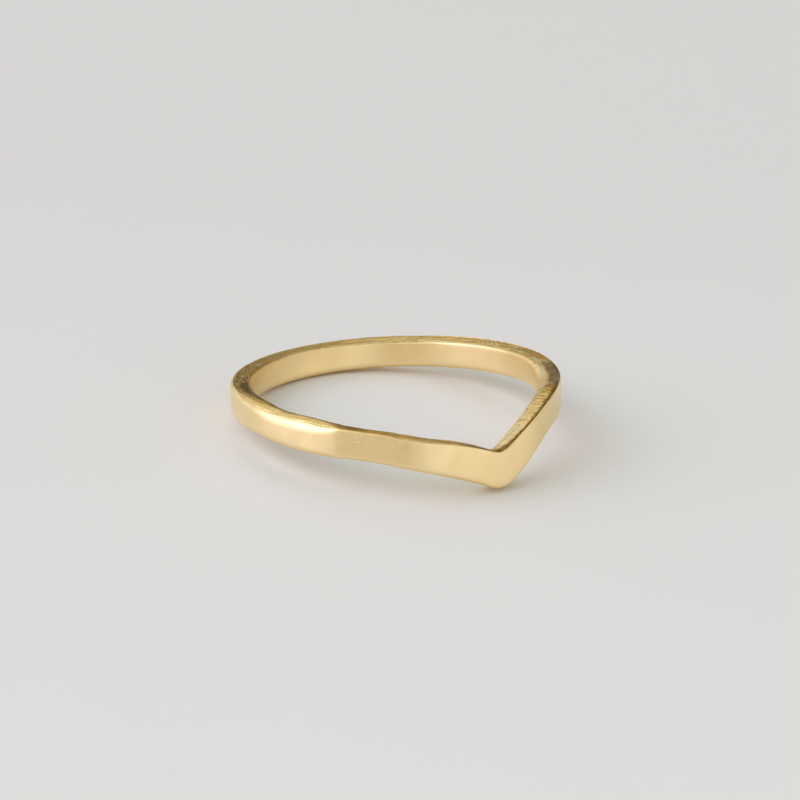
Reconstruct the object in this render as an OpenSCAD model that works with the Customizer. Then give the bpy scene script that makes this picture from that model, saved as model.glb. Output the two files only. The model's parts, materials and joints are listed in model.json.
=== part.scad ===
/* [Finger hole] */
// Diameter of the finger hole
hole_d = 17; // [15:0.1:21]

/* [Band] */
// Thickness of the metal, from the finger to the outer face
band_t = 1.2; // [1.1:0.05:1.8]
// Height of the plain band, measured along the finger
band_w = 1.85; // [1.7:0.05:3]
// Rounding of the four long edges
edge_r = 0.4; // [0.2:0.05:0.45]

/* [V point] */
// How far the middle of the band drops at the point
v_drop = 2.9; // [1:0.05:4]
// Height of the band at the point
point_w = 2.3; // [1.9:0.05:3.2]

/* [Hidden] */

// The V, a row for each place round the front of the ring. The angle is counted from the point,
// with the side towards +X positive. The drop is a share of v_drop, and the spread is a share of
// the height that the point has over the plain band. The two arms differ, as filed by hand.
angle_col = 0;
drop_col = 1;
spread_col = 2;
v_rows = [
    [-115, 0.00, 0.00],
    [-95, 0.00, 0.00],
    [-70, 0.12, -0.10],
    [-52, 0.22, -0.35],
    [-38, 0.34, -0.15],
    [-26, 0.51, 0.20],
    [-16, 0.66, 0.65],
    [-8, 0.82, 0.90],
    [0, 1.00, 1.00],
    [8, 0.80, 0.75],
    [16, 0.57, 0.20],
    [26, 0.34, -0.20],
    [38, 0.20, -0.05],
    [52, 0.13, 0.00],
    [70, 0.02, -0.10],
    [95, 0.00, 0.00],
    [115, 0.00, 0.00]
];
// Past this angle the band is plain
v_reach = 95;

// Sections round the ring, and flats in each rounded edge
stations = 120;
corner_steps = 3;
hole_r = hole_d / 2;
outer_r = hole_r + band_t;

// The finger hole is a round cut all round the plain band and the arms. Across the V's point, up to
// this angle on each side, the wall is made of the stations' own flats, a hair outside that cut.
flat_reach = 39;
flat_gap = 0.01;
flat_r = (hole_r + flat_gap) / cos(180 / stations);
// How far the uncut metal stands into the hole, and how long the cutter is
cut_depth = 0.3;
cutter_h = 4 * (v_drop + point_w);

// The ring lies on its point and on the back of the band, which sets its tilt
back_foot = -band_w / 2;
point_foot = -v_drop - point_w / 2;
tilt = atan((back_foot - point_foot) / (hole_r + outer_r));

// A smooth curve through one column of the rows
function row_above(angle, i = 1) = v_rows[i][angle_col] > angle ? i : row_above(angle, i + 1);
function row_slope(i, column) =
    (v_rows[i + 1][column] - v_rows[i - 1][column])
    / (v_rows[i + 1][angle_col] - v_rows[i - 1][angle_col]);
function share(angle, column) =
    abs(angle) >= v_reach ? 0 :
    let (
        i = row_above(angle),
        low = v_rows[i - 1],
        high = v_rows[i],
        span = high[angle_col] - low[angle_col],
        t = (angle - low[angle_col]) / span
    )
    (2 * pow(t, 3) - 3 * pow(t, 2) + 1) * low[column]
    + (3 * pow(t, 2) - 2 * pow(t, 3)) * high[column]
    + (pow(t, 3) - 2 * pow(t, 2) + t) * span * row_slope(i - 1, column)
    + (pow(t, 3) - pow(t, 2)) * span * row_slope(i, column);

function middle_z(angle) = -v_drop * share(angle, drop_col);
function half_w(angle) = (band_w + (point_w - band_w) * share(angle, spread_col)) / 2;

// One point of a quarter round that starts at angle_a, in radius and height
function corner_point(centre, angle_a, k) =
    let (a = angle_a + 90 * k / corner_steps)
    centre + edge_r * [cos(a), sin(a)];

// The section at one station, as radius and height above the middle of the band, from the outer top
// corner round to the outer foot corner. Where the round cut makes the wall, the inner corners stop
// one step short and run on at 45 degrees, into the metal that the cut takes away.
function section(half, wall_r, cut) =
    let (
        up = half - edge_r,
        deep_r = hole_r - cut_depth,
        last_r = wall_r + edge_r * (1 - cos(90 / corner_steps)),
        last_z = up + edge_r * sin(90 / corner_steps),
        deep_z = last_z - (last_r - deep_r),
        kept = cut ? corner_steps - 1 : corner_steps
    )
    concat(
        [for (k = [0 : corner_steps]) corner_point([outer_r - edge_r, up], 0, k)],
        [for (k = [0 : kept]) corner_point([wall_r + edge_r, up], 90, k)],
        cut ? [[deep_r, deep_z], [deep_r, -deep_z]] : [],
        [for (k = [corner_steps - kept : corner_steps]) corner_point([wall_r + edge_r, -up], 180, k)],
        [for (k = [0 : corner_steps]) corner_point([outer_r - edge_r, -up], 270, k)]
    );

function station_angle(k) = 360 * k / stations - 180;
function station(angle) =
    let (cut = abs(angle) > flat_reach)
    [
        for (p = section(half_w(angle), cut ? hole_r : flat_r, cut))
        [p.x * sin(angle), -p.x * cos(angle), p.y + middle_z(angle)]
    ];

rings = [for (k = [0 : stations - 1]) station(station_angle(k))];
ring_size = len(rings[0]);
skin = [for (ring = rings) for (p = ring) p];
faces = [
    for (k = [0 : stations - 1])
    for (j = [0 : ring_size - 1])
    let (
        a = k * ring_size + j,
        b = k * ring_size + (j + 1) % ring_size,
        c = ((k + 1) % stations) * ring_size + (j + 1) % ring_size,
        d = ((k + 1) % stations) * ring_size + j
    )
    for (triangle = [[a, b, c], [a, c, d]]) triangle
];

// Where the tilted ring has its lowest point and the middle of its length
function laid_y(p) = p.y * cos(tilt) + p.z * sin(tilt);
function laid_z(p) = p.z * cos(tilt) - p.y * sin(tilt);
floor_z = min([for (p = skin) laid_z(p)]);
front_y = min([for (p = skin) laid_y(p)]);
back_y = max([for (p = skin) laid_y(p)]);

// The whole ring: one swept band with its finger hole cut round
module band() {
    color([0.86, 0.71, 0.42])
    translate([0, -(front_y + back_y) / 2, -floor_z])
    rotate([-tilt, 0, 0])
    difference() {
        polyhedron(points = skin, faces = faces);
        cylinder(r = hole_r, h = cutter_h, center = true, $fn = 240);
    }
}

band();
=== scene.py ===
# %% [markdown]
# A gold ring with a V point. The real ring is one narrow band of yellow gold that runs plainly round the
# back of the finger and dips to a soft point at the front. Its faces are satin, its edges are brushed,
# and a flat from the hammer or the file still shows. Here it lies on its side on a pale floor.
#
# The exact solid of the ring comes in first, as a fixed frame. It already has the right size and place,
# so the visible ring is measured from it and nothing has to be fitted afterwards.

# %% Bring in the frame
import functools
import json
import math

import bmesh
import bpy
from mathutils import Matrix, Vector


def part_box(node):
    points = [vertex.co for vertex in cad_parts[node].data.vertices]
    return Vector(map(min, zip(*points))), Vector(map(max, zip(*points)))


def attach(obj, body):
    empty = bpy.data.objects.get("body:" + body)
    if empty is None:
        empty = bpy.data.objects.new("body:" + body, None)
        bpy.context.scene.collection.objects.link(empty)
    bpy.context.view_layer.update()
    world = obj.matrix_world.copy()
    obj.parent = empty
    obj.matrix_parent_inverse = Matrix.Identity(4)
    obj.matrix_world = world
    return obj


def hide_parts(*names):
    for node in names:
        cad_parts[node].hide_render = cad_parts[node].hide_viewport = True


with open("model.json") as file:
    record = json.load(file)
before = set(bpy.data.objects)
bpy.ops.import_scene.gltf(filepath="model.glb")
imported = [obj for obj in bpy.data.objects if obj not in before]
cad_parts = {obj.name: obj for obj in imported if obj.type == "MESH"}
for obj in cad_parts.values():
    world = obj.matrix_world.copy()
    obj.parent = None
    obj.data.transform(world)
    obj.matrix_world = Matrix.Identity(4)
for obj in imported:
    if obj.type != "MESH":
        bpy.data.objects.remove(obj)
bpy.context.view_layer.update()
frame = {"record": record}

# %% [markdown]
# Everything is built in metres, but a ring is thought of in millimetres, so one named value turns
# millimetres into metres. Two places closer than a hair count as one. The finger hole, its centre and
# the lean of its axis are stated in the frame's record, and the outer radius is half the width of the
# solid. The other sizes are the maker's own: how high the plain band stands, and how far its long
# edges are rounded.

# %% Read the driving sizes
MM = 0.001
hair = 0.001 * MM
finger = frame["record"]["mounts"][0]
hole_r = finger["dims"]["r_mm"] * MM
ring_centre = Vector(finger["pos_m"])
finger_axis = Vector(finger["axis"]).normalized()
lean = math.atan2(finger_axis.y, finger_axis.z)

solid_low, solid_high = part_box("band")
outer_r = (solid_high.x - solid_low.x) / 2
band_t = outer_r - hole_r
middle_r = hole_r + band_t / 2
band_h = 1.85 * MM
edge_r = 0.40 * MM
print(f"hole {hole_r / MM:.2f} mm, metal {band_t / MM:.2f} mm, lean {math.degrees(lean):.2f} degrees")

# %% [markdown]
# A slice through the band is a small rectangle with round corners. It could be drawn as a circle and
# squeezed, or as a square whose corners are bevelled. The bevelled square is used, because its flats
# and its rounding stay apart, as on metal that is filed flat first and rounded after. Only its
# outline is kept. The two tall flats get three more points and the two narrow ones get two, so that
# they can be bent later.

# %% Draw the slice
corner_steps = 4
tall_cuts = 3
narrow_cuts = 2

bpy.ops.object.select_all(action="DESELECT")
bpy.ops.mesh.primitive_plane_add(size=1, location=(0, -middle_r, 0), rotation=(0, math.radians(90), 0))
band = bpy.context.object
band.name = "gold_band"
band.data.name = "gold_band"
bpy.ops.object.transform_apply(location=True, rotation=True, scale=True)

bpy.ops.object.mode_set(mode="EDIT")
bpy.ops.mesh.select_all(action="SELECT")
bpy.ops.transform.resize(value=(1, band_t, band_h), center_override=(0, -middle_r, 0))
bpy.ops.mesh.bevel(offset=edge_r, segments=corner_steps, affect="VERTICES")
bpy.ops.mesh.select_all(action="SELECT")
bpy.ops.mesh.delete(type="ONLY_FACE")


def cut_flats(length, cuts):
    """Cut each edge of the slice that has this length."""
    outline = bmesh.from_edit_mesh(band.data)
    for edge in outline.edges:
        edge.select_set(abs(edge.calc_length() - length) < edge_r / 10)
    bmesh.update_edit_mesh(band.data)
    bpy.ops.mesh.subdivide(number_cuts=cuts)
    bpy.ops.mesh.select_all(action="DESELECT")


bpy.ops.mesh.select_mode(type="EDGE")
cut_flats(band_h - 2 * edge_r, tall_cuts)
cut_flats(band_t - 2 * edge_r, narrow_cuts)
bpy.ops.mesh.select_mode(type="VERT")
print("points in the slice:", len(bmesh.from_edit_mesh(band.data).verts))

# %% [markdown]
# The plain band is that slice carried once round the finger. A long bar could be bent round with a
# modifier, but a spin is exact and closes on itself. It goes round the Z axis, with the slice that
# will become the V's point at -Y. The spun skin can come out inside out, so its doubles are merged
# and its normals turned outwards before anything else is done.

# %% Spin the plain band
stations = 180

bpy.ops.mesh.select_all(action="SELECT")
bpy.ops.mesh.spin(steps=stations, angle=math.radians(360), center=(0, 0, 0), axis=(0, 0, 1))
bpy.ops.mesh.select_all(action="SELECT")
bpy.ops.mesh.remove_doubles(threshold=hair)
bpy.ops.mesh.normals_make_consistent(inside=False)
cage = bmesh.from_edit_mesh(band.data)
open_edges = sum(not edge.is_manifold for edge in cage.edges)
print("plain band:", len(cage.verts), "points,", len(cage.faces), "faces, open edges:", open_edges)

# %% [markdown]
# Brush marks follow the metal round the finger, so the skin gets its own map of places while it is
# still plain: along the band in one direction and round the slice in the other, both in metres.
# Unwrapping would cut the skin at seams of its own choosing, and here the two directions are known.

# %% Lay out the map of the skin
def angle_of(place):
    """The angle round the finger in degrees, from the point at -Y and positive towards +X."""
    return math.degrees(math.atan2(place.x, -place.y))


def round_slice(place):
    """The angle round the slice in degrees, from the outer face and positive towards the top edge."""
    return math.degrees(math.atan2(place.z, math.hypot(place.x, place.y) - middle_r))


def unwrapped(angles):
    """The angles of one face, with those past the seam carried on by a full turn."""
    return [angle + 360 if max(angles) - angle > 180 else angle for angle in angles]


slice_round = 2 * (band_t + band_h) - (8 - 2 * math.pi) * edge_r
skin_map = cage.loops.layers.uv.new("skin")
for face in cage.faces:
    along = unwrapped([angle_of(loop.vert.co) for loop in face.loops])
    across = unwrapped([round_slice(loop.vert.co) for loop in face.loops])
    for loop, u, v in zip(face.loops, along, across):
        loop[skin_map].uv = (math.radians(u) * middle_r, v / 360 * slice_round)
bmesh.update_edit_mesh(band.data)
print(f"the skin is {2 * math.pi * middle_r / MM:.1f} by {slice_round / MM:.1f} mm")

# %% [markdown]
# Most of the work is done slice by slice, so the points of each slice are listed once. The helpers
# then do what a hand does at each step: take hold of those points of a slice that pass a test of
# their place, or move each of them by its own amount. The last one reads a smooth curve through one
# column of a table whose rows run round the ring.

# %% Make the helpers
step = 360 / stations
ANGLE = 0
slices = {k: [] for k in range(stations)}
for vert in bmesh.from_edit_mesh(band.data).verts:
    slices[round(angle_of(vert.co) / step) % stations].append(vert.index)


def slice_at(angle):
    """The numbers of the points in the slice nearest to an angle."""
    return slices[round(angle / step) % stations]


def take(angle, test=lambda place: True):
    """Select the points of the slice at an angle whose place passes the test, and nothing else."""
    bpy.ops.mesh.select_all(action="DESELECT")
    held = bmesh.from_edit_mesh(band.data)
    held.verts.ensure_lookup_table()
    for index in slice_at(angle):
        if test(held.verts[index].co):
            held.verts[index].select_set(True)
    bmesh.update_edit_mesh(band.data)


def outward(angle):
    """The direction that leads straight away from the finger at an angle."""
    return Vector((math.sin(math.radians(angle)), -math.cos(math.radians(angle)), 0))


def radius(place):
    """How far a place lies from the finger's axis."""
    return math.hypot(place.x, place.y)


def from_inside(place):
    """Where a place lies in the metal, from 0 at the inner face to 1 at the outer face."""
    return max(0, min(1, (radius(place) - hole_r) / band_t))


def move_each(angle, test, way):
    """Move each point of the slice that passes the test by what the way says for its place."""
    for index in slice_at(angle):
        held = bmesh.from_edit_mesh(band.data)
        held.verts.ensure_lookup_table()
        start = held.verts[index].co.copy()
        if test(start) and way(start).length > hair:
            take(angle, lambda place: (place - start).length < hair)
            bpy.ops.transform.translate(value=way(start))


def slope_at(rows, i, column):
    """How steeply a column runs through row i, from its two neighbours."""
    before, after = rows[i - 1], rows[i + 1]
    return (after[column] - before[column]) / (after[ANGLE] - before[ANGLE])


def value_at(rows, angle, column):
    """A smooth curve through one column of the rows, level up to the second and from the last but one."""
    if angle <= rows[1][ANGLE]:
        return rows[1][column]
    if angle >= rows[-2][ANGLE]:
        return rows[-2][column]
    i = max(i for i, row in enumerate(rows) if row[ANGLE] <= angle)
    low, high = rows[i], rows[i + 1]
    span = high[ANGLE] - low[ANGLE]
    t = (angle - low[ANGLE]) / span
    return (
        (2 * t**3 - 3 * t**2 + 1) * low[column]
        + (3 * t**2 - 2 * t**3) * high[column]
        + (t**3 - 2 * t**2 + t) * span * slope_at(rows, i, column)
        + (t**3 - t**2) * span * slope_at(rows, i + 1, column)
    )


print("slices:", len(slices), "with", len(slices[0]), "points each")

# %% [markdown]
# The long edges weren't rounded alike all round. At the back they are nearly sharp, on the left the
# whole top falls away to the outside, and on the right arm it was filed round towards the finger. A
# table holds what was judged, in millimetres: how far each rounding reaches across the top and
# down the side, how much lower the whole top lies at the finger than outside, and how round the outer
# foot is. The corner of a slice is squeezed or stretched towards its own sharp corner, and the two
# points between the corners are spread evenly again.

# %% Round the edges
OUTER_ACROSS, OUTER_DOWN, INNER_ACROSS, INNER_DOWN, TILT, FOOT_ROUND = range(1, 7)
edge_rows = [
    (-210, 0.15, 0.15, 0.10, 0.10, 0.16, 0.40),
    (-180, 0.15, 0.15, 0.12, 0.12, 0.05, 0.40),
    (-150, 0.15, 0.15, 0.18, 0.18, 0.00, 0.40),
    (-130, 0.20, 0.25, 0.18, 0.20, 0.00, 0.40),
    (-110, 0.35, 0.45, 0.22, 0.22, 0.00, 0.40),
    (-98, 0.50, 0.52, 0.28, 0.25, 0.00, 0.40),
    (-85, 0.62, 0.60, 0.40, 0.28, 0.00, 0.40),
    (-72, 0.65, 0.60, 0.45, 0.28, 0.00, 0.40),
    (-62, 0.58, 0.46, 0.45, 0.28, 0.00, 0.35),
    (-57, 0.18, 0.16, 0.40, 0.28, 0.00, 0.30),
    (-50, 0.10, 0.10, 0.40, 0.28, 0.00, 0.30),
    (-42, 0.12, 0.14, 0.40, 0.28, 0.00, 0.30),
    (-35, 0.20, 0.22, 0.40, 0.28, 0.00, 0.30),
    (-26, 0.18, 0.18, 0.40, 0.28, 0.00, 0.30),
    (-15, 0.16, 0.16, 0.40, 0.28, 0.00, 0.30),
    (-8, 0.16, 0.16, 0.40, 0.28, 0.00, 0.24),
    (0, 0.14, 0.14, 0.55, 0.34, 0.03, 0.20),
    (8, 0.14, 0.14, 0.80, 0.50, 0.04, 0.24),
    (20, 0.14, 0.14, 0.90, 0.60, 0.00, 0.40),
    (35, 0.14, 0.14, 0.90, 0.62, 0.00, 0.40),
    (50, 0.14, 0.14, 0.85, 0.60, 0.00, 0.40),
    (60, 0.14, 0.14, 0.75, 0.48, 0.00, 0.40),
    (70, 0.14, 0.14, 0.75, 0.24, 0.02, 0.40),
    (80, 0.13, 0.13, 0.90, 0.12, 0.05, 0.40),
    (95, 0.10, 0.10, 1.00, 0.09, 0.10, 0.40),
    (110, 0.10, 0.10, 1.00, 0.09, 0.11, 0.40),
    (125, 0.15, 0.15, 0.70, 0.11, 0.13, 0.40),
    (140, 0.15, 0.15, 0.16, 0.12, 0.18, 0.40),
    (155, 0.15, 0.15, 0.10, 0.10, 0.15, 0.40),
    (180, 0.15, 0.15, 0.12, 0.12, 0.05, 0.40),
    (210, 0.15, 0.15, 0.18, 0.18, 0.00, 0.40),
]
plain_top = band_h / 2
near = edge_r / 20
flat_step = (band_t - 2 * edge_r) / (narrow_cuts + 1)


def round_corner(angle, side, level, across, down):
    """Fit the corner of one slice. Side is 1 for the outer and -1 for the inner, level 1 top and -1 foot."""
    corner_r = outer_r if side > 0 else hole_r
    take(angle, lambda place: (
        abs(radius(place) - corner_r) < edge_r + near and abs(place.z - level * plain_top) < edge_r + near))
    sharp = outward(angle) * corner_r + Vector((0, 0, level * plain_top))
    size = (across / edge_r, across / edge_r, down / edge_r)
    bpy.ops.transform.resize(value=size, center_override=sharp)


for k in range(stations):
    angle = k * step - 180
    outer_across, outer_down, inner_across, inner_down, tilt, foot_round = [
        value_at(edge_rows, angle, column) * MM for column in range(OUTER_ACROSS, FOOT_ROUND + 1)
    ]
    flat_start = hole_r + inner_across
    flat_end = outer_r - outer_across
    for side, share in ((1, 2 / 3), (-1, 1 / 3)):
        start_r = middle_r + side * flat_step / 2
        take(angle, lambda place: abs(radius(place) - start_r) < near and place.z > 0)
        spread_r = flat_start + (flat_end - flat_start) * share
        bpy.ops.transform.translate(value=outward(angle) * (spread_r - start_r))
    round_corner(angle, 1, 1, outer_across, outer_down)
    round_corner(angle, -1, 1, inner_across, inner_down)
    round_corner(angle, 1, -1, foot_round, foot_round)
    corner_z = plain_top - inner_down

    def tilted(place):
        """How far a point of the top is lowered, the more the nearer it lies to the finger."""
        return Vector((0, 0, -tilt * (1 - from_inside(place)) * min(1, place.z / corner_z)))

    move_each(angle, lambda place: place.z > near, tilted)
print("rounding rows:", len(edge_rows))

# %% [markdown]
# The V is pulled out of the plain band: at each place round the front, the whole slice is moved down,
# and then its top edge and its foot are moved apart or together. The rows give the heights of the top
# edge and of the foot over the middle of the plain band, how far the outer and the inner face stand
# off the true round, and how far the outer face leans in from its foot to its top, in millimetres.
# The two arms differ a little, because the ring was filed by hand.

# %% Pull the V out of the band
TOP, FOOT, OUT, IN, LEAN = range(1, 6)
v_rows = [
    (-210, 0.925, -0.925, 0.00, 0.00, 0.00),
    (-180, 0.925, -0.925, 0.00, 0.00, 0.00),
    (-140, 0.925, -0.925, 0.02, 0.00, 0.00),
    (-115, 0.920, -0.925, 0.00, 0.00, 0.00),
    (-95, 0.865, -0.935, 0.00, 0.00, 0.06),
    (-82, 0.665, -1.120, 0.00, 0.00, 0.16),
    (-70, 0.575, -1.310, 0.00, 0.00, 0.18),
    (-60, 0.370, -1.425, 0.00, 0.00, 0.12),
    (-52, 0.190, -1.540, 0.00, 0.00, 0.00),
    (-38, -0.110, -1.920, 0.00, 0.00, 0.00),
    (-26, -0.550, -2.455, 0.00, 0.00, 0.04),
    (-16, -0.885, -2.985, 0.00, 0.00, 0.04),
    (-8, -1.300, -3.490, 0.00, 0.00, 0.04),
    (-3, -1.620, -3.880, 0.00, 0.02, 0.04),
    (0, -1.760, -3.930, 0.00, 0.03, 0.04),
    (4, -1.450, -3.780, 0.02, 0.08, 0.04),
    (8, -1.060, -3.420, 0.04, 0.12, 0.02),
    (16, -0.440, -2.660, 0.06, 0.14, 0.00),
    (26, 0.190, -1.880, 0.06, 0.14, 0.00),
    (38, 0.600, -1.494, 0.06, 0.13, 0.00),
    (52, 0.710, -1.302, 0.04, 0.09, 0.00),
    (70, 0.860, -0.961, 0.00, 0.02, 0.00),
    (95, 0.925, -0.925, 0.00, 0.00, 0.00),
    (115, 0.925, -0.925, 0.00, 0.00, 0.00),
    (180, 0.925, -0.925, 0.00, 0.00, 0.00),
    (210, 0.925, -0.925, 0.00, 0.00, 0.00),
]
for k in range(stations):
    angle = k * step - 180
    top, foot, out, inward, lean_in = [
        value_at(v_rows, angle, column) * MM for column in range(TOP, LEAN + 1)
    ]
    middle = (top + foot) / 2
    apart = (top - foot) / 2 - plain_top
    take(angle)
    bpy.ops.transform.translate(value=(0, 0, middle))

    def spread(place):
        """How far a point moves up or down and in or out, by its height and its depth in the metal."""
        level = (place.z - middle) / plain_top
        depth = from_inside(place)
        across = (out - lean_in * level / 2) * depth - inward * (1 - depth)
        return outward(angle) * across + Vector((0, 0, apart * max(-1, min(1, 2 * level))))

    move_each(angle, lambda place: True, spread)
cage = bmesh.from_edit_mesh(band.data)
print(f"the V reaches {-min(vert.co.z for vert in cage.verts) / MM:.2f} mm down")

# %% [markdown]
# One flat shows on the outer face where the hammer or the file met it. It could be painted as a bump,
# but it changes the outline and the way light slides over the metal, so it is real. Its two edges are
# crisp, so the slices on both sides of each edge are first turned close up to it. Then the outer part
# of every slice between the edges is moved in, as deep as a straight cut across the round takes it.

# %% Lay the flat on the outer face
flat_middle = -47.4
flat_half = 10.0
flat_depth = 0.147 * MM
flat_from = hole_r + band_t / 4
edge_gap = 0.3


def gather(edge):
    """Turn the slices on both sides of an edge close up to it, in degrees."""
    below = math.floor(edge / step) * step
    for angle, target in ((below, edge - edge_gap), (below + step, edge + edge_gap)):
        take(angle)
        bpy.ops.transform.rotate(
            value=math.radians(angle - target), orient_axis="Z", center_override=(0, 0, 0))


def cut_in(place):
    """How far the straight cut moves a point in, the more the nearer it lies to the outer face."""
    offset = (angle_of(place) - flat_middle) / flat_half
    return -outward(angle_of(place)) * max(0, 1 - offset**2) * flat_depth * from_inside(place)


first_edge, last_edge = flat_middle - flat_half, flat_middle + flat_half
gather(first_edge)
gather(last_edge)
for k in range(math.ceil(first_edge / step), math.floor(last_edge / step) + 1):
    move_each(k * step, lambda place: radius(place) > flat_from, cut_in)
cage = bmesh.from_edit_mesh(band.data)
cage.verts.ensure_lookup_table()
beside = [angle_of(cage.verts[slice_at(angle)[0]].co) for angle in (first_edge, first_edge + step)]
print("slices at the flat's first edge, in degrees:", [round(angle, 1) for angle in beside])

# %% [markdown]
# Up to here the finger's axis stood upright. On its side, the ring leans until it rests on the point
# and on the back of the band. Turned in edit mode, it keeps its object at the origin, as every
# finished piece here does. With no window open the turn goes the other way round, so the lean is
# given as it is and the result is measured.

# %% Lay the ring down
bpy.ops.mesh.select_all(action="SELECT")
bpy.ops.transform.rotate(value=lean, orient_axis="X", center_override=(0, 0, 0))
bpy.ops.transform.translate(value=ring_centre)
bpy.ops.object.mode_set(mode="OBJECT")
print(f"lowest point {min(vert.co.z for vert in band.data.vertices) / MM:.3f} mm over the floor")

# %% [markdown]
# The cage is smoothed with a subdivision surface, which rounds what lies between its points. Then the
# skin is pushed in by a cloudy pattern, a hundredth of a millimetre here and there, because no metal
# that was rubbed by hand is quite even. The pattern's highest places stay where they are, so nothing is
# pushed out. Both are applied, so that the ring that is kept is the one seen.

# %% Smooth the metal
smooth_levels = 2
wave_size = 0.9 * MM
wave_depth = 0.014 * MM
wave_highest = 1

rounding = band.modifiers.new("rounding", "SUBSURF")
rounding.levels = smooth_levels
rounding.render_levels = smooth_levels
bpy.ops.object.modifier_apply(modifier=rounding.name)
waves = bpy.data.textures.new("waves", "CLOUDS")
waves.noise_scale = wave_size
waving = band.modifiers.new("waving", "DISPLACE")
waving.texture = waves
waving.strength = wave_depth
waving.mid_level = wave_highest
bpy.ops.object.modifier_apply(modifier=waving.name)
bpy.ops.object.shade_smooth()
print("smooth band:", len(band.data.polygons), "faces")

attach(band, "root")
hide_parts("band")

# %% [markdown]
# The gold is a satin one: it was rubbed along the band with a fine abrasive, which leaves thousands of
# short parallel marks. They blur what the metal mirrors, and far more across the marks than along them.
# The marks themselves are too fine to draw, so the blur is left to the shader: it is anisotropic, and
# the skin's own map gives it the way of the marks.

# %% Start the satin gold
def add_node(tree, kind, inputs, **settings):
    """Add a node with these settings, and feed its sockets with values or with other sockets."""
    node = tree.nodes.new("ShaderNode" + kind)
    for name, setting in settings.items():
        setattr(node, name, setting)
    for socket, source in inputs.items():
        if isinstance(source, bpy.types.NodeSocket):
            tree.links.new(source, node.inputs[socket])
        else:
            node.inputs[socket].default_value = source
    return node


blur_across = 0.8
quarter_turn = 0.25

gold = bpy.data.materials.new("satin_gold")
gold.use_nodes = True
metal = gold.node_tree
shader = metal.nodes["Principled BSDF"]
shader.inputs["Metallic"].default_value = 1
shader.inputs["Anisotropic"].default_value = blur_across
shader.inputs["Anisotropic Rotation"].default_value = quarter_turn
rubbed_way = add_node(metal, "Tangent", {}, direction_type="UV_MAP", uv_map="skin")
metal.links.new(rubbed_way.outputs["Tangent"], shader.inputs["Tangent"])
band.data.materials.append(gold)
print("the marks follow the map:", rubbed_way.uv_map)

# %% [markdown]
# The finish isn't the same all over. The faces are smooth, and the top edge was brushed more coarsely,
# at the right bend across the band. So the places are found first, as masks: each is a soft step that
# is 1 within some distance of a line on the skin and 0 beyond it. A table names the smaller places.
# Its first three columns are the line round the slice, how far the place reaches from it and how wide
# its soft rim is, in millimetres. The other three say the same along the band, in degrees from the
# point.

# %% Find the places on the skin
top_line = slice_round / 4 / MM
foot_line = -top_line
edge_half = 0.42
top_rim = 0.12
foot_rim = 0.22
# line, half and rim in millimetres, then angle, half and rim in degrees
spots = {
    "right_bend": (top_line, edge_half, top_rim, 52, 12, 8),
    "scratched_top": (top_line, edge_half, top_rim, 86, 16, 8),
    # a place of painted dark reflection on the top at the back left, also brushed
    "left_top_dark_reflection": (top_line, edge_half, top_rim, -138, 24, 18),
    "bend_bevel": (1.97, 0.22, 0.14, 34, 34, 8),
    "arm_bevel": (1.88, 0.32, 0.14, 16, 16, 10),
    # two places of a brown painted dark reflection along the outer side of the right arm's top
    "wide_dark_reflection": (1.27, 0.38, 0.16, 47, 26, 14),
    "thin_dark_reflection": (1.14, 0.24, 0.14, 6, 16, 10),
    # a place of painted dark reflection on the inner side of the left arm's top
    "inner_dark_reflection": (1.60, 0.22, 0.14, -85, 32, 12),
    # the upper part of the flat, with real pits, and painted shade in the pits
    "flat_top": (0.55, 0.28, 0.10, -46, 11, 2),
}
skin = add_node(metal, "UVMap", {}, uv_map="skin")
on_skin = add_node(metal, "SeparateXYZ", {"Vector": skin.outputs["UV"]})
along_band, round_band = on_skin.outputs["X"], on_skin.outputs["Y"]


def number(operation, first, second=0.0):
    """A step of arithmetic."""
    return add_node(metal, "Math", {0: first, 1: second}, operation=operation).outputs["Value"]


def soft_step(value, start, end, low=0.0, high=1.0):
    """A soft step from low to high as the value goes from the start to the end."""
    limits = {"From Min": start, "From Max": end, "To Min": low, "To Max": high}
    node = add_node(metal, "MapRange", {"Value": value, **limits}, interpolation_type="SMOOTHSTEP")
    return node.outputs["Result"]


def within(value, middle, half, rim):
    """1 within half of the middle, and 0 from a soft rim on, in millimetres."""
    distance = number("ABSOLUTE", number("SUBTRACT", value, middle * MM))
    return soft_step(distance, half * MM, (half + rim) * MM, 1.0, 0.0)


def spot(name):
    """The mask of one place of the table."""
    line, half, rim, angle, half_angle, rim_angle = spots[name]
    per_degree = math.radians(1) * middle_r / MM
    along = within(along_band, angle * per_degree, half_angle * per_degree, rim_angle * per_degree)
    return number("MULTIPLY", within(round_band, line, half, rim), along)


top_edge = within(round_band, top_line, edge_half, top_rim)
# the foot, where the colour is painted deeper as shade
foot_shade = within(round_band, foot_line, edge_half, foot_rim)
right_bevel = number("MAXIMUM", spot("bend_bevel"), spot("arm_bevel"))
outer_dark_reflection = number("MAXIMUM", spot("wide_dark_reflection"), spot("thin_dark_reflection"))
scratched_top = spot("scratched_top")
flat_top = spot("flat_top")
print(f"top edge at {top_line:.2f} mm and foot at {foot_line:.2f} mm round the slice")

# %% [markdown]
# Coarser marks do show one by one. They could be carved, but they are only a few hundredths of a
# millimetre deep, so they are bumps. A cloudy noise is drawn out in one direction to make strokes of
# some length and width. The map has a seam at the back, where the strokes would break off. So each
# pattern is laid twice, once with the map carried on past the seam, and the two fade into each other
# on the left.

# %% Draw out the strokes
full_turn = 2 * math.pi * middle_r
fade_start = full_turn * 0.28
fade_end = full_turn * 0.36
noise_middle = 0.5
before_zero = number("LESS_THAN", along_band, 0.0)
past_seam = number("ADD", along_band, number("MULTIPLY", before_zero, full_turn))
carried_on = add_node(metal, "CombineXYZ", {"X": past_seam, "Y": round_band}).outputs["Vector"]
back_half = soft_step(number("ABSOLUTE", along_band), fade_start, fade_end)


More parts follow.
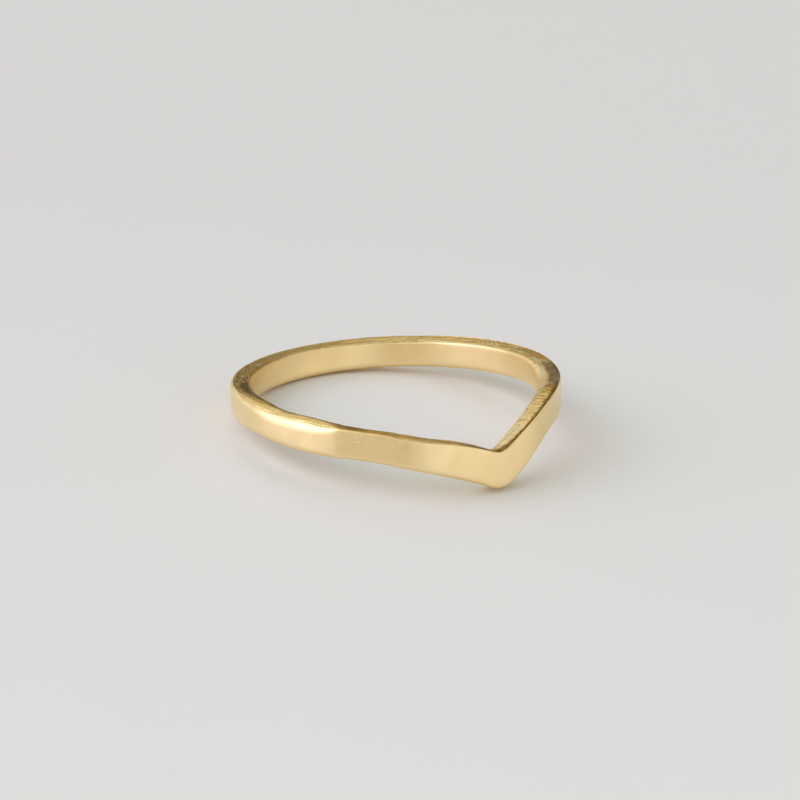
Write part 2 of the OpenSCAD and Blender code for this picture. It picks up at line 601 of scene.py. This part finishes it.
def drawn_out(place, long, wide, turn):
    """A cloudy noise on this map, drawn out to strokes of this length and width and turned."""
    laid = add_node(metal, "Mapping", {
        "Vector": place,
        "Rotation": (0, 0, math.radians(turn)),
        "Scale": (long * MM, wide * MM, MM),
    }, vector_type="TEXTURE")
    noise = add_node(
        metal, "TexNoise", {"Vector": laid.outputs["Vector"], "Scale": 1.0, "Detail": 1.0},
        noise_dimensions="2D")
    return noise.outputs["Fac"]


def strokes(long, wide, turn=0.0):
    """Strokes of this length and width in millimetres, turned by some degrees from the way of the band."""
    front, back = [drawn_out(place, long, wide, turn) for place in (skin.outputs["UV"], carried_on)]
    return number("ADD", front, number("MULTIPLY", number("SUBTRACT", back, front), back_half))


def clouds(size, detail=1.0):
    """Round clouds of this size in millimetres, all through the metal."""
    place = add_node(metal, "TexCoord", {})
    return add_node(metal, "TexNoise", {
        "Vector": place.outputs["Object"], "Scale": 1 / (size * MM), "Detail": detail,
    }).outputs["Fac"]


def relief(pattern, depth, mask):
    """The height in millimetres of a pattern of this depth, within a mask if there is one."""
    raised = number("MULTIPLY", number("SUBTRACT", pattern, noise_middle), depth)
    return raised if mask is None else number("MULTIPLY", raised, mask)


def total_of(numbers):
    """Add up several sockets."""
    return functools.reduce(lambda first, second: number("ADD", first, second), numbers)


print(f"the map is carried on past its seam, {full_turn / 2 / MM:.1f} mm from the point")

# %% [markdown]
# Each row of the table is one kind of stroke: its length along the band and its width in millimetres,
# how far it is turned in degrees, its depth in millimetres and where it lies. Strokes that are wider
# than long run across the band. A soft step near the middle of a round noise cuts it into patches, and
# one near its peaks leaves small pits. The turned strokes lie in patches, and they nearly fade out at
# the left end of the ring.

# %% Brush the metal
patch_size, patch_low, patch_high = 1.3, 0.42, 0.58
pit_size, pit_low, pit_high = 0.11, 0.58, 0.70
left_end, left_end_over, left_end_share = -7 * MM, -4 * MM, 0.2
in_metal = add_node(metal, "SeparateXYZ", {"Vector": add_node(metal, "TexCoord", {}).outputs["Object"]})
past_left_end = soft_step(in_metal.outputs["X"], left_end, left_end_over, left_end_share, 1.0)
patches = number("MULTIPLY", soft_step(clouds(patch_size), patch_low, patch_high), past_left_end)
pits = soft_step(clouds(pit_size), pit_low, pit_high)

# long, wide, turn, depth and where
stroke_rows = [
    (1.1, 0.05, 0, 0.005, None),
    (1.8, 0.13, 2, 0.045, top_edge),
    (0.55, 0.08, 28, 0.045, number("MULTIPLY", top_edge, patches)),
    (0.07, 0.60, 8, 0.060, spot("right_bend")),
    (0.30, 0.40, 0, 0.050, right_bevel),
    (1.0, 0.07, -25, 0.060, scratched_top),
]
# depth and where
pit_rows = [(0.015, flat_top), (0.010, top_edge)]
heights = [relief(strokes(long, wide, turn), depth, mask) for long, wide, turn, depth, mask in stroke_rows]
heights += [relief(number("MULTIPLY", pits, -1.0), depth, mask) for depth, mask in pit_rows]
bump = add_node(metal, "Bump", {"Height": total_of(heights), "Distance": MM, "Strength": 1.0})
metal.links.new(bump.outputs["Normal"], shader.inputs["Normal"])
print("kinds of marks:", len(heights))

# %% [markdown]
# Most of the deepening of the colour is painted light. The colour runs from a light gold on the faces
# to deeper golds where a dark reflection is painted: on the top edge, most at the front, on the inner
# side of the left arm's top and on the top at the back left. Shade is painted deeper along the feet and
# in the pits of the flat, and a brown painted dark reflection runs along the outer side of the right
# arm's top. The right bevel and the scratched top at the back are painted lighter, as painted highlight.
# A table says how much deeper each place is, and a minus makes it lighter. The colour clouds a little
# everywhere, and the roughness clouds too.

# %% Colour the gold, with painted shade and reflections
light_gold = (0.968, 0.774, 0.428, 1)
# The light gold is the metal's own colour; the deeper golds and the brown are reached mostly where shade and
# dark reflections are painted below.
gold_tones = {0.45: (0.920, 0.690, 0.310, 1), 0.75: (0.800, 0.540, 0.190, 1)}
painted_brown_reflection = (0.300, 0.180, 0.050, 1)
front_end, back_start, back_share = 1 * MM, 6 * MM, 0.15
fleck_long, fleck_wide = 0.12, 0.30
fleck_low, fleck_high = 0.35, 0.65
line_light, line_deep = 0.40, 0.65
tone_size, tone_detail, tone_middle = 0.7, 2.0, 0.45
satin_size, satin_detail = 0.8, 2.0
satin_low, satin_high = 0.3, 0.7
least_rough, most_rough = 0.29, 0.37
brushed_shine = 0.10

# How much of the painted dark reflection on the top edge stays: all of it at the front, less at the back.
front_reflection_share = soft_step(in_metal.outputs["Y"], front_end, back_start, 1.0, back_share)
uneven = soft_step(strokes(fleck_long, fleck_wide), fleck_low, fleck_high, line_light, line_deep)
# where and how much deeper
light_and_tone_rows = [
    # painted dark reflection on the top edge, most at the front
    (number("MULTIPLY", top_edge, front_reflection_share), 0.50),
    # painted highlight: the right bevel is painted lighter
    (right_bevel, -0.50),
    # painted highlight: the scratched top at the back is painted lighter
    (scratched_top, -0.45),
    # brown painted dark reflection along the outer side of the right arm's top, flecked unevenly
    (number("MULTIPLY", outer_dark_reflection, uneven), 1.00),
    # painted dark reflection on the inner side of the left arm's top
    (spot("inner_dark_reflection"), 0.42),
    # painted dark reflection on the top at the back left
    (spot("left_top_dark_reflection"), 0.37),
    # painted shade along the feet
    (foot_shade, 0.45),
    # painted shade in the pits of the flat
    (number("MULTIPLY", pits, flat_top), 0.60),
    (number("SUBTRACT", clouds(tone_size, tone_detail), tone_middle), 0.40),
]
painted_light_and_tone = total_of([number("MULTIPLY", mask, deeper) for mask, deeper in light_and_tone_rows])
tone = add_node(metal, "ValToRGB", {"Fac": painted_light_and_tone})
tone.color_ramp.elements[0].color = light_gold
tone.color_ramp.elements[1].color = painted_brown_reflection
for depth, gold_tone in gold_tones.items():
    tone.color_ramp.elements.new(depth).color = gold_tone
metal.links.new(tone.outputs["Color"], shader.inputs["Base Color"])
satin = soft_step(clouds(satin_size, satin_detail), satin_low, satin_high, least_rough, most_rough)
roughness = number("SUBTRACT", satin, number("MULTIPLY", top_edge, brushed_shine))
metal.links.new(roughness, shader.inputs["Roughness"])
print("nodes in the gold:", len(metal.nodes))

# %% [markdown]
# The camera stands where the photograph was taken from. Its turn, rise and roll and the scale were found
# by laying the ring's outline over the photograph's. It looks past the ring's centre by as many pixels
# as put the ring in its place in the picture, so the camera moves sideways and its lens stays straight.

# %% Set up the camera
image_px = 800
camera_away = 130 * MM
camera_sees_from = 10 * MM
camera_turn = math.radians(-39.22)
camera_rise = math.radians(22.97)
camera_roll = math.radians(4.28)
px_per_mm = 16.958
centre_px = Vector((395.45, 389.05))

towards = Vector((
    math.sin(camera_turn) * math.cos(camera_rise),
    -math.cos(camera_turn) * math.cos(camera_rise),
    math.sin(camera_rise),
))
looking = towards.to_track_quat("Z", "Y").to_matrix().to_4x4() @ Matrix.Rotation(camera_roll, 4, "Z")
right = looking.to_3x3() @ Vector((1, 0, 0))
up = looking.to_3x3() @ Vector((0, 1, 0))
off_middle = (centre_px - Vector((image_px / 2, image_px / 2))) / px_per_mm * MM
place = ring_centre + towards * camera_away - right * off_middle.x + up * off_middle.y

bpy.ops.object.camera_add()
camera = bpy.context.object
camera.name = "camera"
camera.matrix_world = Matrix.Translation(place) @ looking
camera.data.lens = px_per_mm / MM * camera_away / image_px * camera.data.sensor_width
camera.data.clip_start = camera_sees_from
bpy.context.scene.camera = camera
print(f"lens {camera.data.lens:.1f} mm, camera {place.z / MM:.0f} mm over the floor")

# %% [markdown]
# The floor is a plain pale sheet of card. Its light falls off a little towards the far side, and its
# tone clouds faintly, so that it doesn't look printed.

# %% Lay the floor
floor_size = 2.0
fall_off = 60 * MM
# The card is painted lighter near the camera and darker towards the far side, as painted light falloff, with
# a faint clouded tone mixed in.
near_tone = (0.868, 0.880, 0.874, 1)
far_tone = (0.786, 0.794, 0.788, 1)
mottle_size = 14 * MM
mottle_detail = 3.0
mottle_shift = 20 * MM
card_rough = 0.8
away = -Vector((towards.x, towards.y, 0)).normalized()

bpy.ops.object.select_all(action="DESELECT")
bpy.ops.mesh.primitive_plane_add(size=floor_size, location=(0, 0, 0))
floor = bpy.context.object
floor.name = "floor"
card = bpy.data.materials.new("pale_card")
card.use_nodes = True
sheet = card.node_tree
on_floor = add_node(sheet, "TexCoord", {}).outputs["Object"]
distance = add_node(sheet, "VectorMath", {0: on_floor, 1: away}, operation="DOT_PRODUCT").outputs["Value"]
mottle = add_node(
    sheet, "TexNoise", {"Vector": on_floor, "Scale": 1 / mottle_size, "Detail": mottle_detail})
shifted = add_node(
    sheet, "Math", {0: mottle.outputs["Fac"], 1: mottle_shift, 2: distance}, operation="MULTIPLY_ADD")
share = add_node(sheet, "MapRange", {
    "Value": shifted.outputs["Value"], "From Min": -fall_off, "From Max": fall_off})
card_tone = add_node(sheet, "ValToRGB", {"Fac": share.outputs["Result"]})
card_tone.color_ramp.elements[0].color = near_tone
card_tone.color_ramp.elements[1].color = far_tone
sheet.links.new(card_tone.outputs["Color"], sheet.nodes["Principled BSDF"].inputs["Base Color"])
sheet.nodes["Principled BSDF"].inputs["Roughness"].default_value = card_rough
floor.data.materials.append(card)
print("floor tones:", near_tone[:3], far_tone[:3])

# %% [markdown]
# Satin metal shows little but the studio round it, so the studio matters as much as the gold. A cool
# window stands on the left, the light on the other sides is dimmer and warmer, and the far side of the
# room is dark. Lamps could be hung there, but panels painted on the sky give the same soft light with
# less noise. One node group makes a round panel that is full in its core and fades out to its rim.

# %% Make a soft panel
def soft_panel_group():
    """A round soft panel of light on the sky, as a colour for each direction."""
    group = bpy.data.node_groups.new("soft_panel", "ShaderNodeTree")
    for name, kind in (("Direction", "Vector"), ("Core", "Float"), ("Rim", "Float"), ("Colour", "Vector")):
        group.interface.new_socket(name, in_out="INPUT", socket_type="NodeSocket" + kind)
    group.interface.new_socket("Light", in_out="OUTPUT", socket_type="NodeSocketVector")
    inside = group.nodes.new("NodeGroupInput")
    outside = group.nodes.new("NodeGroupOutput")
    sky = group.nodes.new("ShaderNodeTexCoord")
    facing = group.nodes.new("ShaderNodeVectorMath")
    facing.operation = "DOT_PRODUCT"
    fade = group.nodes.new("ShaderNodeMapRange")
    fade.interpolation_type = "SMOOTHSTEP"
    light = group.nodes.new("ShaderNodeVectorMath")
    light.operation = "SCALE"
    group.links.new(sky.outputs["Generated"], facing.inputs[0])
    group.links.new(inside.outputs["Direction"], facing.inputs[1])
    group.links.new(facing.outputs["Value"], fade.inputs["Value"])
    group.links.new(inside.outputs["Rim"], fade.inputs["From Min"])
    group.links.new(inside.outputs["Core"], fade.inputs["From Max"])
    group.links.new(inside.outputs["Colour"], light.inputs[0])
    group.links.new(fade.outputs["Result"], light.inputs["Scale"])
    group.links.new(light.outputs["Vector"], outside.inputs["Light"])
    return group


panel_group = soft_panel_group()
print("panel sockets:", [socket.name for socket in panel_group.interface.items_tree])

# %% [markdown]
# Each panel has its own direction. Its turn is counted in degrees from straight away from the camera,
# positive to the camera's right, and its rise from the floor. Some rows hang two or three like panels
# side by side. The core and the reach are in degrees too, and the last column is the light's own red,
# green and blue. The rows with no rise are bright strips low over the floor, which fade out above it.

# %% Hang the panels round the ring
NAME, TURNS, RISE, CORE, REACH, COLOUR = range(6)
panels = [
    ("low_left", (-120,), 0, 10, 50, (0.48, 0.50, 0.42)),
    ("low_far_left", (-60,), 0, 10, 50, (1.20, 1.18, 1.10)),
    ("low_far_right", (60,), 0, 10, 50, (0.42, 0.40, 0.32)),
    ("low_right", (120,), 0, 10, 50, (1.70, 1.54, 1.42)),
    ("window", (-120, -90), 24, 4, 24, (2.10, 1.78, 2.20)),
    ("near_wall", (180, -150), 24, 4, 24, (0.65, 0.46, 0.24)),
    ("left_wall", (-60, -30), 24, 4, 24, (0.70, 0.70, 0.66)),
    ("far_wall", (0,), 24, 4, 24, (0.34, 0.24, 0.02)),
    ("right_wall", (60, 90, 120), 24, 4, 24, (0.50, 0.48, 0.44)),
    ("right_lamp", (150,), 24, 4, 24, (1.12, 1.15, 1.18)),
    ("high_left", (-135, -90), 50, 4, 26, (1.45, 1.60, 1.65)),
    ("high_near", (180,), 50, 4, 26, (0.95, 0.92, 1.00)),
    ("high_far", (0,), 50, 4, 26, (0.92, 0.92, 0.90)),
    ("high_far_left", (-45,), 50, 4, 26, (0.32, 0.35, 0.40)),
    ("high_right", (90,), 50, 4, 26, (1.00, 0.95, 0.94)),
    ("overhead", (60,), 76, 4, 26, (0.36, 0.36, 0.14)),
]
strip_full = 4
strip_gone = 14
scene = bpy.context.scene
studio = bpy.data.worlds.new("studio")
scene.world = studio
studio.use_nodes = True
sky_nodes = studio.node_tree.nodes
sky_links = studio.node_tree.links
across = away.cross(Vector((0, 0, 1)))


def hang(panel, turn):
    """Hang one panel of a row at its turn, and give the socket that its light comes out of."""
    turn, rise = math.radians(turn), math.radians(panel[RISE])
    level = across * math.sin(turn) + away * math.cos(turn)
    node = sky_nodes.new("ShaderNodeGroup")
    node.node_tree = panel_group
    node.label = panel[NAME]
    node.inputs["Direction"].default_value = level * math.cos(rise) + Vector((0, 0, math.sin(rise)))
    node.inputs["Core"].default_value = math.cos(math.radians(panel[CORE]))
    node.inputs["Rim"].default_value = math.cos(math.radians(panel[REACH]))
    node.inputs["Colour"].default_value = panel[COLOUR]
    return node.outputs["Light"]


def vector_math(operation, first, second):
    """Join two sockets by a step of vector arithmetic."""
    node = sky_nodes.new("ShaderNodeVectorMath")
    node.operation = operation
    sky_links.new(first, node.inputs[0])
    sky_links.new(second, node.inputs["Scale" if operation == "SCALE" else 1])
    return node.outputs["Vector"]


def total(lights):
    """Add up the light of several panels."""
    return functools.reduce(lambda first, second: vector_math("ADD", first, second), lights)


low_lights = [hang(panel, turn) for panel in panels if panel[RISE] == 0 for turn in panel[TURNS]]
high_lights = [hang(panel, turn) for panel in panels if panel[RISE] > 0 for turn in panel[TURNS]]
view = sky_nodes.new("ShaderNodeTexCoord")
height = sky_nodes.new("ShaderNodeSeparateXYZ")
over_floor = sky_nodes.new("ShaderNodeMapRange")
over_floor.interpolation_type = "SMOOTHSTEP"
over_floor.inputs["From Min"].default_value = math.sin(math.radians(strip_full))
over_floor.inputs["From Max"].default_value = math.sin(math.radians(strip_gone))
over_floor.inputs["To Min"].default_value = 1
over_floor.inputs["To Max"].default_value = 0
sky_links.new(view.outputs["Generated"], height.inputs["Vector"])
sky_links.new(height.outputs["Z"], over_floor.inputs["Value"])
strips = vector_math("SCALE", total(low_lights), over_floor.outputs["Result"])
sky_links.new(total([strips] + high_lights), sky_nodes["Background"].inputs["Color"])
scene.view_settings.view_transform = "Standard"
print("panels:", len(low_lights) + len(high_lights))
